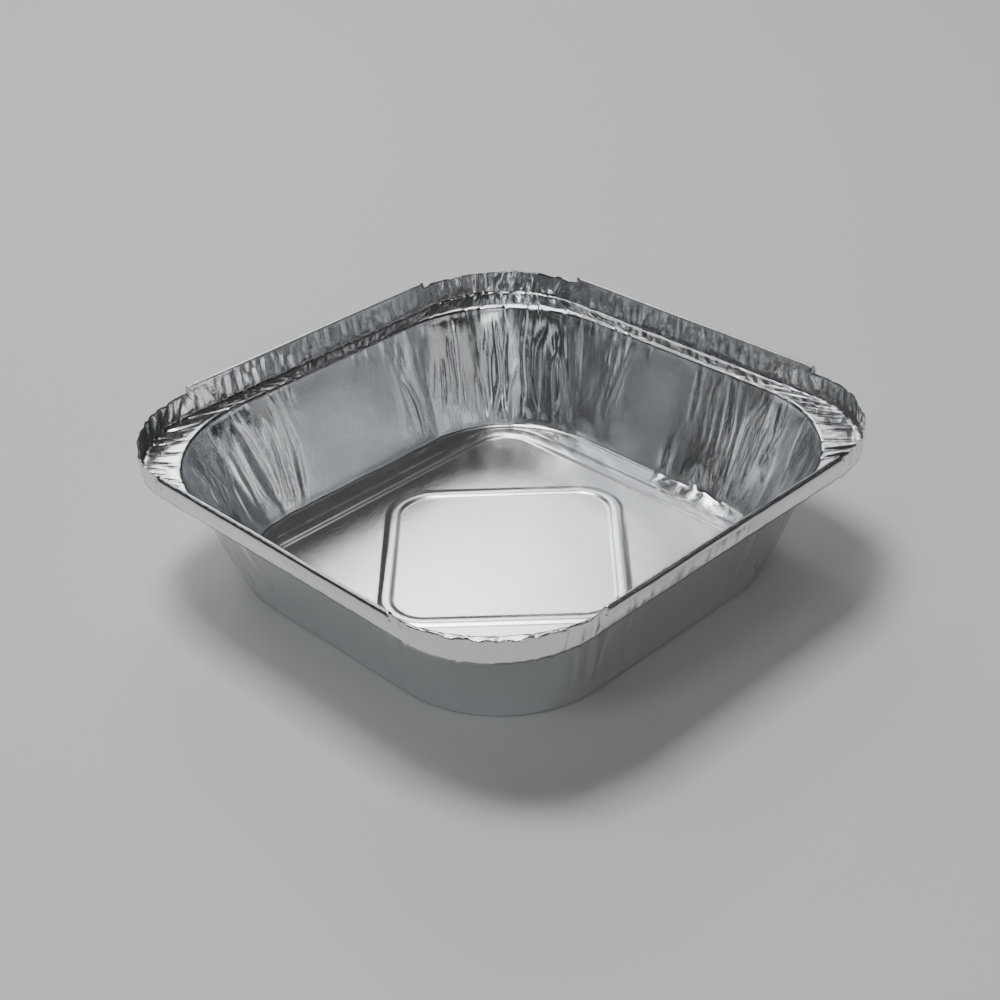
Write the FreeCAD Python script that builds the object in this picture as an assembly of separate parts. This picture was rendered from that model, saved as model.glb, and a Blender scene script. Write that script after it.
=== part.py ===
import FreeCAD, Part
import math
import os
from collections import namedtuple

# Square pressed-foil food tray: one sheet of aluminium foil drawn into an open pan.
# Millimetres, +Z up. The origin is the middle of the base, on the surface the tray stands on.
# Half widths are from the middle to the outer face of the foil, across the flat of a side.

# Foil
gauge = 0.12

# Shelf that a lid sits on, and the lip that stands up from its outer edge
crease_half = 112.3
crease_radius = 44.5
shelf_height = 50.3
shelf_width = 6.3
shelf_round = 1.4
lip_height = 10.0
lip_lean = 1.3

# Walls and base
wall_flare = 15.9
wall_top_radius = 57.6
base_radius = 46.5
foot_run = 1.7
foot_rise = 1.9
foot_bend_run = 1.0
foot_bend_rise = 0.6

# Ridge round the base, and the square ridge inside it, which is turned by an eighth of a turn
ridge_inset = 12.4
ridge_radius = 18.3
ridge_crest = 4.5
panel_clearance = 7.8
panel_radius = 16.4
panel_crest = 2.5
panel_turn_deg = 45.0
bead_height = 1.4
bead_slope_run = 2.0

# Flaps: the lip along each side is taller than at the corners, and its edge is turned outward
flap_half_length = 65.0
flap_rise = 1.4
hem_projection = 2.0
hem_round_radius = 0.5
hem_round_deg = 135.0
hem_edge_drop = 1.3
hem_drop = 2.4
hem_tuck = 0.5
hem_gap = 0.8

# Pleats that take up the foil at the corners
pleats_per_corner = 14
wall_pleat_depth = 1.7
rim_pleat_depth = 0.6
shelf_crease_depth = 0.6
rim_edge_wave = 0.5
pleat_spread = 4
column_drift = 0.18

# Dent at the foot of one wall
dent_place = 25.0
dent_half_length = 13.0
dent_depth = 3.0
dent_rise = 2.6

# How a pleat's depth and the dent's run with the height of the wall, from its foot (0) to its
# top (1): a pleat opens from a point at the foot, is deepest low on the wall and dies at the top.
wall_profile = (
    # share of height, share of pleat depth, share of dent
    (0.0, 0.3, 0.8),
    (0.12, 0.9, 0.35),
    (0.4, 1.0, 0.0),
    (0.72, 0.8, 0.0),
    (0.93, 0.45, 0.0),
    (1.0, 0.3, 0.0),
)

# Segments
side_columns = 14
bead_corner_segments = 8
hem_round_segments = 3

# Worked out from the sizes above
wall_top_half = crease_half - shelf_width - shelf_round
foot_half = wall_top_half - wall_flare
base_half = foot_half - foot_run
ridge_half = base_half - ridge_inset
panel_reach = ridge_half - ridge_crest / 2 - panel_crest / 2 - 2 * bead_slope_run - panel_clearance
panel_half = panel_radius + (panel_reach - panel_radius) / math.sqrt(2)

Station = namedtuple("Station", "half radius height wall_pleat rim_pleat rim_lift dent",
                     defaults=(0.0, 0.0, 0.0, 0.0))
Place = namedtuple("Place", "quarter on_corner fraction wall_fold rim_fold", defaults=(0.0, 0.0))


class FoilSurface:
    """Flat faces that share their corner points and edges, so that they close to one solid."""

    def __init__(self):
        self.points = []
        self.loops = []

    def add_point(self, x, y, z):
        self.points.append(FreeCAD.Vector(x, y, z))
        return len(self.points) - 1

    def add_face(self, *loops):
        """One flat face: its outline, then the outlines of its holes."""
        self.loops.append(loops)

    def add_quad(self, a, b, c, d):
        """One face where the four corners lie in a plane, and two triangles where they don't."""
        pa, pb, pc, pd = (self.points[index] for index in (a, b, c, d))
        normal = (pb - pa).cross(pc - pa)
        if abs(normal.dot(pd - pa)) < 1e-9 * max(normal.Length, 1.0):
            self.add_face([a, b, c, d])
        else:
            self.add_face([a, b, c])
            self.add_face([a, c, d])

    def add_strip(self, low, high, closed):
        """The faces between two rows of points with the same number of columns."""
        count = len(low) if closed else len(low) - 1
        for k in range(count):
            following = (k + 1) % len(low)
            self.add_quad(low[k], low[following], high[following], high[k])

    def solid(self):
        vertices = [Part.Vertex(point) for point in self.points]
        edges = {}

        def edge(a, b):
            key = (min(a, b), max(a, b))
            if key not in edges:
                edges[key] = Part.Edge(vertices[key[0]], vertices[key[1]])
            return edges[key]

        def wire(loop):
            return Part.Wire([edge(a, b) for a, b in zip(loop, loop[1:] + loop[:1])])

        faces = [Part.Face([wire(loop) for loop in loops]) for loops in self.loops]
        shell = Part.Shell(faces)
        shell.sewShape()
        solid = Part.Solid(shell)
        if solid.Volume < 0:
            solid.reverse()
        return solid


def bead(half, radius, crest):
    """The four stations of a pressed ridge: foot, crest, crest, foot."""
    reach = crest / 2 + bead_slope_run
    offsets = ((-reach, 0.0), (-crest / 2, bead_height), (crest / 2, bead_height), (reach, 0.0))
    return [Station(half + run, radius + run, rise) for run, rise in offsets]


def wall_stations(ridge_foot):
    """The flat outside the ridge, the foot, the wall and the round at the wall's top."""
    foot_radius = base_radius + foot_run
    wall_top_height = shelf_height - shelf_round
    stations = [
        Station((ridge_foot.half + base_half) / 2, (ridge_foot.radius + base_radius) / 2, 0.0),
        Station(base_half, base_radius, 0.0, dent=1.0),
        Station(base_half + foot_bend_run, base_radius + foot_bend_run, foot_bend_rise, dent=1.0),
    ]
    for share, pleat, dent in wall_profile:
        stations.append(Station(
            foot_half + share * (wall_top_half - foot_half),
            foot_radius + share * (wall_top_radius - foot_radius),
            foot_rise + share * (wall_top_height - foot_rise),
            wall_pleat=pleat * wall_pleat_depth,
            dent=dent,
        ))
    for turn_deg in (45.0, 90.0):
        turn = math.radians(turn_deg)
        out = shelf_round * (1 - math.cos(turn))
        up = shelf_round * math.sin(turn)
        stations.append(Station(wall_top_half + out, wall_top_radius + out, wall_top_height + up))
    return stations


def rim_stations():
    """The outer edge of the shelf, and the lip at the corners."""
    lip_radius = crease_half + lip_lean - flap_half_length
    return [
        Station(crease_half, crease_radius, shelf_height, rim_lift=-shelf_crease_depth),
        Station(crease_half + lip_lean / 2, (crease_radius + lip_radius) / 2,
                shelf_height + lip_height / 2, rim_pleat=0.7 * rim_pleat_depth),
        Station(crease_half + lip_lean, lip_radius, shelf_height + lip_height,
                rim_pleat=rim_pleat_depth, rim_lift=rim_edge_wave),
    ]


def hem_stations():
    """The flap's top edge: up, over in a round, down and outward, and tucked back in."""
    top_half = crease_half + lip_lean * (lip_height + flap_rise) / lip_height
    top_height = shelf_height + lip_height + flap_rise
    outline = [(0.0, 0.0)]
    for k in range(1, hem_round_segments + 1):
        angle = math.radians(hem_round_deg * k / hem_round_segments)
        outline.append((hem_round_radius * (1 - math.cos(angle)), hem_round_radius * math.sin(angle)))
    outline.append((hem_projection, -hem_edge_drop))
    outline.append((hem_projection - hem_tuck, -hem_drop))
    outline.append((hem_gap, -hem_drop))
    return [Station(top_half + out, top_half + out - flap_half_length, top_height + up)
            for out, up in outline]


def upper_face(section):
    """The same section moved by the gauge to the foil's upper face, with mitred corners."""
    flat_inside = (section[0].half - gauge, section[0].height)
    points = [flat_inside] + [(station.half, station.height) for station in section]
    moved = []
    for k, station in enumerate(section, start=1):
        normals = []
        for start, end in ((k - 1, k), (k, k + 1)):
            if end < len(points):
                run = points[end][0] - points[start][0]
                rise = points[end][1] - points[start][1]
                length = math.hypot(run, rise)
                normals.append((-rise / length, run / length))
        across = sum(normal[0] for normal in normals)
        up = sum(normal[1] for normal in normals)
        scale = gauge * len(normals) / (across * across + up * up)
        moved.append(station._replace(half=station.half + across * scale,
                                      radius=station.radius + across * scale,
                                      height=station.height + up * scale))
    return moved


def irregular(k, quarter):
    """A share between about 0.45 and 1 that differs from pleat to pleat and corner to corner."""
    return 0.72 + 0.28 * math.sin(2.3 * k + 1.9 * quarter + 0.4)


def foil_places():
    """The columns of the walls and the rim, anticlockwise from the start of the +X side."""
    corner_columns = 2 * pleats_per_corner
    places = []
    for quarter in range(4):
        for k in range(side_columns):
            from_end = min(k, side_columns - k)
            fade = max(0.0, 1 - from_end / pleat_spread)
            fold = (-1) ** k * fade * irregular(k + 40, quarter)
            places.append(Place(quarter, False, 2 * k / side_columns - 1, fold))
        for k in range(corner_columns):
            drift = column_drift * math.sin(2.9 * k + quarter) if k else 0.0
            onset = min(1.0, min(k, corner_columns - k) / pleat_spread)
            fold = (-1) ** (k + side_columns) * irregular(k, quarter)
            rim_fold = (-1) ** k * onset * irregular(1.7 * k, quarter)
            places.append(Place(quarter, True, (k + drift) / corner_columns, fold, rim_fold))
    return places


def bead_places():
    """The columns of a ridge: a straight run on each side, and an arc at each corner."""
    places = []
    for quarter in range(4):
        places.append(Place(quarter, False, -1.0))
        for k in range(bead_corner_segments):
            places.append(Place(quarter, True, k / bead_corner_segments))
    return places


def dent_shift(along, station):
    """How far the foot is pushed in and up at a distance along the dented side."""
    nearness = max(0.0, 1 - abs(along - dent_place) / dent_half_length)
    return (dent_depth * nearness * station.dent, dent_rise * nearness * station.dent)


def point_at(station, place, turn_deg=0.0):
    """Where a section's station lies at one column of the rounded square."""
    straight = station.half - station.radius
    push = station.wall_pleat * place.wall_fold + station.rim_pleat * place.rim_fold
    height = station.height + station.rim_lift * place.rim_fold
    if place.on_corner:
        angle = math.radians(90.0 * place.fraction)
        x = straight + (station.radius + push) * math.cos(angle)
        y = straight + (station.radius + push) * math.sin(angle)
    else:
        x = station.half + push
        y = straight * place.fraction
        if place.quarter == 1:
            inward, lift = dent_shift(-y, station)
            x -= inward
            height += lift
    turn = math.radians(90.0 * place.quarter + turn_deg)
    return (x * math.cos(turn) - y * math.sin(turn), x * math.sin(turn) + y * math.cos(turn), height)


def foil_section():
    """The section from the outer ridge to the flap's edge, and the first two parts' station counts."""
    ridge = bead(ridge_half, ridge_radius, ridge_crest)
    sheet = wall_stations(ridge[-1]) + rim_stations()
    hem = hem_stations()
    return ridge + sheet + hem, len(ridge), len(sheet)


def panel_section(upper):
    """The section of the inner square ridge, on the foil's lower or upper face."""
    panel = bead(panel_half, panel_radius, panel_crest)
    if not upper:
        return panel
    flat_outside = Station(panel[-1].half + gauge, panel[-1].radius + gauge, 0.0)
    return upper_face(panel + [flat_outside])[:-1]


def add_rows(surface, stations, places, turn_deg=0.0):
    """One row of points for each station, along the given columns."""
    return [[surface.add_point(*point_at(station, place, turn_deg)) for place in places]
            for station in stations]


def add_side_of_foil(surface, columns, end_places, upper):
    """One face of the foil, without its flaps: gives the corner lip's row and each flap's rows."""
    section, ridge_count, sheet_count = foil_section()
    if upper:
        section = upper_face(section)
    bead_columns = bead_places()
    ridge_rows = add_rows(surface, section[:ridge_count], bead_columns)
    panel_rows = add_rows(surface, panel_section(upper), bead_columns, panel_turn_deg)
    sheet_rows = add_rows(surface, section[ridge_count:ridge_count + sheet_count], columns)
    for rows in (ridge_rows, panel_rows, sheet_rows):
        for low, high in zip(rows, rows[1:]):
            surface.add_strip(low, high, closed=True)
    surface.add_face(panel_rows[0])
    surface.add_face(ridge_rows[0], panel_rows[-1])
    surface.add_face(sheet_rows[0], ridge_rows[-1])
    flap_rows = [add_rows(surface, section[ridge_count + sheet_count:], ends) for ends in end_places]
    return sheet_rows[-1], flap_rows


def add_flap(surface, lip_rows, flap_rows, start, end):
    """One flap: both faces above the corner lip's height, the turned edge, and its two ends."""
    for lip_row, rows in zip(lip_rows, flap_rows):
        surface.add_face(lip_row[start:end + 1] + rows[0][::-1])
        for low, high in zip(rows, rows[1:]):
            surface.add_strip(low, high, closed=False)
    lower, upper = flap_rows
    surface.add_quad(lower[-1][0], lower[-1][1], upper[-1][1], upper[-1][0])
    for tip, column in ((0, start), (1, end)):
        under = [lip_rows[0][column]] + [pair[tip] for pair in lower]
        over = [lip_rows[1][column]] + [pair[tip] for pair in upper]
        surface.add_face(under + over[::-1])


def foil_tray():
    """The tray: both faces of the foil, the four flaps, and the cut edge of the corner lips."""
    surface = FoilSurface()
    columns = foil_places()
    quarter_columns = len(columns) // 4
    flap_ends = [(quarter * quarter_columns, quarter * quarter_columns + side_columns)
                 for quarter in range(4)]
    end_places = [(columns[start], columns[end]) for start, end in flap_ends]
    faces = [add_side_of_foil(surface, columns, end_places, upper) for upper in (False, True)]
    lip_rows = [lip_row for lip_row, _ in faces]
    for quarter, (start, end) in enumerate(flap_ends):
        add_flap(surface, lip_rows, [flap_rows[quarter] for _, flap_rows in faces], start, end)
        corner = [k % len(columns) for k in range(end, (quarter + 1) * quarter_columns + 1)]
        lower, upper = ([lip_row[k] for k in corner] for lip_row in lip_rows)
        surface.add_strip(lower, upper, closed=False)
    return surface.solid()


os.makedirs("parts", exist_ok=True)
foil_tray().exportStep("parts/foil_tray.step")
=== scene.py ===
"""Dresses the square pressed-foil tray: its creased sheet, its finish, the floor, light and camera."""

import logging
import math
from dataclasses import dataclass, field
from enum import Enum, IntEnum

import bpy
import numpy as np
from mathutils import Matrix, Vector
from mathutils.geometry import delaunay_2d_cdt


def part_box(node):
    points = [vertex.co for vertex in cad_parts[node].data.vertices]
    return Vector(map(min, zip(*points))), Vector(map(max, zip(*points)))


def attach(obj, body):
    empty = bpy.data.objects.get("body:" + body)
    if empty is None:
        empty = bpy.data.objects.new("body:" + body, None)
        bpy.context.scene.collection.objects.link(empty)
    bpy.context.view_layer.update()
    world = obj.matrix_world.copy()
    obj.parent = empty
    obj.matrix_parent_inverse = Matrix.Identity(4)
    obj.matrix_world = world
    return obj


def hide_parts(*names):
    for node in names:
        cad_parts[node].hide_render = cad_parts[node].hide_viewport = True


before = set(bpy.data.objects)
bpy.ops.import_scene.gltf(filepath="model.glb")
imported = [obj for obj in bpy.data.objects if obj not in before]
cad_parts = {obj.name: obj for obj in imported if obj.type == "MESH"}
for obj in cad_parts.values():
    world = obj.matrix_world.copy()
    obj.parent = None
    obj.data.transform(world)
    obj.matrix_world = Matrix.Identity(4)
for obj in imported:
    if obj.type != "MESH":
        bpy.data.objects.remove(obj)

LOG = logging.getLogger("foil_tray")
MM = 0.001
Array = np.ndarray
Pair = tuple[float, float]
Colour = tuple[float, float, float, float]


@dataclass(frozen=True)
class TraySizes:
    """The tray's own sizes in millimetres, from its middle to the outer face of the foil."""

    gauge: float = 0.12
    crease_half: float = 112.3
    crease_radius: float = 44.5
    shelf_height: float = 50.3
    shelf_width: float = 6.3
    shelf_round: float = 1.4
    lip_height: float = 10.0
    lip_lean: float = 1.3
    wall_flare: float = 15.9
    wall_top_radius: float = 57.6
    base_radius: float = 46.5
    foot_run: float = 1.7
    foot_rise: float = 1.9
    ridge_inset: float = 12.4
    ridge_radius: float = 18.3
    ridge_crest: float = 4.5
    panel_half: float = 46.7
    panel_radius: float = 16.4
    panel_crest: float = 2.5
    bead_relief: float = 0.78
    bead_slope_run: float = 2.0
    bead_easing: float = 0.35
    bead_margin: float = 0.4
    ridge_margin: float = 1.0
    flap_half_length: float = 65.0
    flap_rise: float = 1.4
    hem_projection: float = 2.0
    hem_drop: float = 2.4
    dent_top: float = 20.0

    @property
    def wall_top_half(self) -> float:
        """Half width where the wall ends and the shelf's round begins."""
        return self.crease_half - self.shelf_width - self.shelf_round

    @property
    def foot_half(self) -> float:
        """Half width where the wall begins."""
        return self.wall_top_half - self.wall_flare

    @property
    def base_half(self) -> float:
        """Half width of the flat base."""
        return self.foot_half - self.foot_run

    @property
    def ridge_half(self) -> float:
        """Half width of the floor's outer ridge, at the middle of its crest."""
        return self.base_half - self.ridge_inset


@dataclass(frozen=True)
class Noise:
    """Repeatable noise from a seed, which closes on itself after a length round the tray."""

    seed: int
    length: float

    LATTICE_ROWS = 96
    FIRST_LATTICE_ROW = 31.0
    CREASE_STEPS = 64
    CREASE_GAPS = (0.4, 1.6)
    CREASE_STARTS = (20.0, 28.0)

    def smooth(self, along: Array, up: Array, cell: Pair, key: int) -> Array:
        """Value noise: lattice values blended by 3t^2 - 2t^3 in both directions.

        Args:
            along: distance round the tray.
            up: distance up the section.
            cell: size of a lattice cell along and up.
            key: picks one of many independent patterns.

        Returns:
            Values from -1 to 1.
        """
        columns = max(2, int(round(self.length / cell[0])))
        rows = self.LATTICE_ROWS
        values = np.random.default_rng((self.seed, key)).uniform(-1.0, 1.0, (rows, columns))
        x = along / self.length * columns
        y = up / cell[1] + self.FIRST_LATTICE_ROW
        x0, y0 = np.floor(x).astype(int), np.floor(y).astype(int)
        tx, ty = smooth_step(0.0, 1.0, x - x0), smooth_step(0.0, 1.0, y - y0)
        left, right = x0 % columns, (x0 + 1) % columns
        low, high = (values[row % rows, left] * (1 - tx) + values[row % rows, right] * tx
                     for row in (y0, y0 + 1))
        return low * (1 - ty) + high * ty

    def faceted(self, along: Array, up: Array, cell: Pair, key: int) -> Array:
        """Flat facets between upright creases at uneven distances.

        Each crease carries random values at even steps up from a height of its own, joined by straight
        lines. Between two creases the height runs straight from one to the other.

        Args:
            along: distance round the tray.
            up: distance up the section.
            cell: mean distance between creases, and the step up each of them.
            key: picks one of many independent patterns.

        Returns:
            Values from -1 to 1.
        """
        rng = np.random.default_rng((self.seed, key))
        count = int(round(self.length / cell[0]))
        knots = np.concatenate([[0.0], np.cumsum(rng.uniform(*self.CREASE_GAPS, count))])
        knots *= self.length / knots[-1]
        values = rng.uniform(-1.0, 1.0, (count, self.CREASE_STEPS))
        starts = rng.uniform(*self.CREASE_STARTS, count)
        place = along % self.length
        left = np.clip(np.searchsorted(knots, place, side="right") - 1, 0, count - 1)
        right = (left + 1) % count
        share = (place - knots[left]) / (knots[left + 1] - knots[left])
        before, after = (self.on_crease(values, which, up / cell[1] + starts[which])
                         for which in (left, right))
        return before * (1 - share) + after * share

    @staticmethod
    def on_crease(values: Array, which: Array, place: Array) -> Array:
        """Height on chosen creases, by straight lines between the values at their steps.

        Args:
            values: random values, creases by steps.
            which: the crease that each point reads.
            place: how many steps up that crease the point lies.

        Returns:
            Values from -1 to 1.
        """
        steps = values.shape[1]
        low = np.floor(place).astype(int)
        t = place - low
        return values[which, low % steps] * (1 - t) + values[which, (low + 1) % steps] * t


class Pattern(Enum):
    """How a layer of creases runs: in flat facets, or in soft waves."""

    FACETS = "facets"
    WAVES = "waves"


@dataclass(frozen=True)
class Creases:
    """One layer of creases: its height, its cells along and up the section, and the key of its noise.

    slant slides the pattern along the tray by that share of the distance up the section.
    """

    pattern: Pattern
    height: float
    cell: Pair
    key: int
    slant: float = 0.0

    def heights(self, noise: Noise, along: Array, up: Array) -> Array:
        """The layer's millimetres at a place round and up: height * noise(along + slant * up, up)."""
        kind = noise.faceted if self.pattern is Pattern.FACETS else noise.smooth
        return self.height * kind(along + self.slant * up, up, self.cell, self.key)


def stacked(layers: tuple[Creases, ...], noise: Noise, along: Array, up: Array) -> Array:
    """The sum of several layers of creases in millimetres, at a place round the tray and up it."""
    return sum(layer.heights(noise, along, up) for layer in layers)


@dataclass
class Columns:
    """Columns round a rounded square: a side from -1 to 1, then a corner from 0 to 1, four times."""

    quarter: Array
    on_corner: Array
    share: Array

    @classmethod
    def spread(cls, side_count: int, corner_count: int) -> "Columns":
        """Lays out evenly spread columns.

        Args:
            side_count: columns on each straight side.
            corner_count: columns on each corner.

        Returns:
            The columns, anticlockwise from the start of the +X side.
        """
        side = 2.0 * np.arange(side_count) / side_count - 1.0
        corner = np.arange(corner_count) / corner_count
        count = side_count + corner_count
        return cls(
            np.repeat(np.arange(4), count),
            np.tile(np.arange(count) >= side_count, 4),
            np.tile(np.concatenate([side, corner]), 4),
        )

    def distance(self, half: float, radius: float) -> Array:
        """Distance along one ring from the start of the +X side.

        Args:
            half: half width of the ring.
            radius: its corner radius.

        Returns:
            The distance of each column in millimetres.
        """
        straight = half - radius
        arc = radius * math.pi / 2
        within = np.where(self.on_corner, 2 * straight + arc * self.share, straight * (self.share + 1))
        return within + self.quarter * (2 * straight + arc)

    def place(self, half: Array, radius: Array, turn: float = 0.0) -> tuple[Array, ...]:
        """Points of rings and their outward directions in plan.

        A side lies at x = half with y = share * (half - radius). A corner turns about
        (half - radius, half - radius) by share * 90 degrees. Each quarter is turned by 90 degrees more.

        Args:
            half: half width of each ring.
            radius: corner radius of each ring.
            turn: turn of the whole figure in radians.

        Returns:
            x, y and the outward direction's x and y, each rings by columns.
        """
        half = np.atleast_1d(half)[:, None]
        radius = np.atleast_1d(radius)[:, None]
        straight = half - radius
        angle = np.where(self.on_corner, self.share * math.pi / 2, 0.0)[None, :]
        x = np.where(self.on_corner, straight + radius * np.cos(angle), half)
        y = np.where(self.on_corner, straight + radius * np.sin(angle), straight * self.share)
        spin = self.quarter * math.pi / 2 + turn
        cos, sin = np.cos(spin), np.sin(spin)
        out_x = np.broadcast_to(np.cos(angle + spin), x.shape)
        out_y = np.broadcast_to(np.sin(angle + spin), x.shape)
        return x * cos - y * sin, x * sin + y * cos, out_x, out_y


class Part(IntEnum):
    """Parts of the section, in order from the floor's ridge outward."""

    MARGIN = 0
    FOOT = 1
    WALL = 2
    ROUND = 3
    SHELF = 4
    LIP = 5


# How many rows of points each part has.
ROWS = {Part.MARGIN: 5, Part.FOOT: 4, Part.WALL: 27, Part.ROUND: 4, Part.SHELF: 6, Part.LIP: 8}


@dataclass
class Section:
    """Rows of the tray's section from the ridge outward, one value per row.

    foot, wall, shelf and lip say how far each of those is done, from 0 to 1.
    """

    half: Array
    radius: Array
    height: Array
    foot: Array
    wall: Array
    shelf: Array
    lip: Array

    @classmethod
    def of_tray(cls, sizes: TraySizes) -> "Section":
        """Builds the rows: flat margin, foot, wall, round, shelf and corner lip.

        From knot to knot the half width and radius go by one share and the height by another: both t on
        straight parts, 2t - t*t and t*t on the foot, 1 - cos and sin of a quarter turn on the round.

        Args:
            sizes: the tray's sizes.

        Returns:
            The section.
        """
        s = sizes
        reach = s.ridge_crest / 2 + s.bead_slope_run + s.ridge_margin
        lip_half = s.crease_half + s.lip_lean
        knots = np.array([
            (s.ridge_half + reach, s.ridge_radius + reach, 0.0),
            (s.base_half, s.base_radius, 0.0),
            (s.foot_half, s.base_radius + s.foot_run, s.foot_rise),
            (s.wall_top_half, s.wall_top_radius, s.shelf_height - s.shelf_round),
            (s.wall_top_half + s.shelf_round, s.wall_top_radius + s.shelf_round, s.shelf_height),
            (s.crease_half, s.crease_radius, s.shelf_height),
            (lip_half, lip_half - s.flap_half_length, s.shelf_height + s.lip_height),
        ])
        table = [np.array([[*knots[0], 0.0, 0.0, 0.0, 0.0]]).T]
        for part, count in ROWS.items():
            t = np.arange(1, count + 1) / count
            out, up = t, t
            if part is Part.FOOT:
                out, up = 2 * t - t * t, t * t
            elif part is Part.ROUND:
                out, up = 1 - np.cos(t * math.pi / 2), np.sin(t * math.pi / 2)
            start, end = knots[part][:, None], knots[part + 1][:, None]
            done = [np.where(part == own, t, float(part > own))
                    for own in (Part.FOOT, Part.WALL, Part.SHELF, Part.LIP)]
            table.append(np.vstack([start + (end - start) * np.stack([out, out, up]), *done]))
        return cls(*np.hstack(table))

    def slope(self) -> tuple[Array, Array]:
        """The direction square to the section at each row, towards the foil's upper face.

        Returns:
            Its outward and upward shares, from the run and rise between neighbouring rows.
        """
        run = np.gradient(self.half)
        rise = np.gradient(self.height)
        length = np.hypot(run, rise)
        return -rise / length, run / length


class FoilMesh:
    """Gathers points and faces of one sheet and makes its mesh."""

    def __init__(self) -> None:
        """Starts with no points and no faces."""
        self.points: list[Array] = []
        self.creasing: list[Array] = []
        self.crumpling: list[Array] = []
        self.faces: list[Array] = []
        self.count = 0

    def add_rows(self, x: Array, y: Array, z: Array, creasing: float | Array,
                 crumpling: float | Array = 0.0) -> Array:
        """Adds rows of points.

        Args:
            x: first coordinate in millimetres, rows by columns.
            y: second coordinate.
            z: height.
            creasing: how creased the foil is there, from 0 to 1.
            crumpling: how crumpled it is between its creases, from 0 to 1.

        Returns:
            The numbers of the points, rows by columns.
        """
        index = self.count + np.arange(x.size).reshape(x.shape)
        self.points.append(np.stack([x, y, z], axis=-1).reshape(-1, 3))
        self.creasing.append(np.broadcast_to(creasing, x.shape).reshape(-1))
        self.crumpling.append(np.broadcast_to(crumpling, x.shape).reshape(-1))
        self.count += x.size
        return index

    def join(self, rows: Array, closed: bool) -> None:
        """Joins each row to the next with quads that face up or inward.

        Args:
            rows: numbers of the points, rows by columns.
            closed: whether the last column joins the first.
        """
        following = np.roll(rows, -1, axis=1)
        low, high, low_next, high_next = rows[:-1], rows[1:], following[:-1], following[1:]
        if not closed:
            low, high, low_next, high_next = (part[:, :-1] for part in (low, high, low_next, high_next))
        self.faces.append(np.stack([low, high, high_next, low_next], axis=-1).reshape(-1, 4))

    def fill(self, outer: Array, inner: Array | None) -> None:
        """Fills the flat area between two closed rows of points, or inside one.

        Args:
            outer: numbers of the outline's points, anticlockwise.
            inner: numbers of the hole's points, or None.
        """
        everything = np.concatenate(self.points)
        loops = [outer] if inner is None else [outer, inner]
        chosen = np.concatenate(loops)
        flat = [Vector(point[:2]) for point in everything[chosen]]
        edges, start = [], 0
        for count in map(len, loops):
            edges += [(start + k, start + (k + 1) % count) for k in range(count)]
            start += count
        points, _, triangles, _, _, _ = delaunay_2d_cdt(flat, edges, [], 1, 1e-6)
        triangles = np.array(triangles)
        if inner is not None:
            middle = np.array([tuple(point) for point in points])[triangles].mean(axis=1)
            hole = everything[inner][:, :2]
            triangles = triangles[~self.inside(middle, hole)]
        self.faces.append(chosen[triangles])

    @staticmethod
    def inside(points: Array, outline: Array) -> Array:
        """Whether each point lies in a convex outline, on the left of every edge.

        Args:
            points: points in plan.
            outline: corners, anticlockwise.

        Returns:
            One truth value per point.
        """
        edge = np.roll(outline, -1, axis=0) - outline
        away = points[:, None, :] - outline[None, :, :]
        side = edge[None, :, 0] * away[:, :, 1] - edge[None, :, 1] * away[:, :, 0]
        return (side > 0).all(axis=1)

    def build(self, name: str) -> bpy.types.Mesh:
        """Makes the mesh in metres, with its creasing and crumpling kept as attributes.

        Args:
            name: name of the mesh.

        Returns:
            The mesh.
        """
        mesh = bpy.data.meshes.new(name)
        faces = [face for part in self.faces for face in part.tolist()]
        mesh.from_pydata((np.concatenate(self.points) * MM).tolist(), [], faces)
        for key, values in (("creasing", self.creasing), ("crumpling", self.crumpling)):
            attribute = mesh.attributes.new(key, "FLOAT", "POINT")
            attribute.data.foreach_set("value", np.concatenate(values).astype(np.float32))
        mesh.shade_smooth()
        mesh.update()
        return mesh


class Wall(Enum):
    """The four walls, each with the corner that follows it anticlockwise."""

    FRONT_RIGHT = 0
    BACK_RIGHT = 1
    BACK_LEFT = 2
    FRONT_LEFT = 3


# For all long facets: depth and width against their tables, the least half width and the least one to
# divide by, the share of the wall over which an end rounds off, the share above which a band runs on over
# the top, and where its edge falls off, in half widths.
BAND_DEPTH = 0.85
BAND_WIDTH = 1.2
BAND_LEAST_HALF = 0.7
BAND_LEAST_DIVISOR = 0.3
BAND_END = 0.1
BAND_OPEN_TOP = 0.94
BAND_EDGE = (0.65, 1.3)


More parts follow.
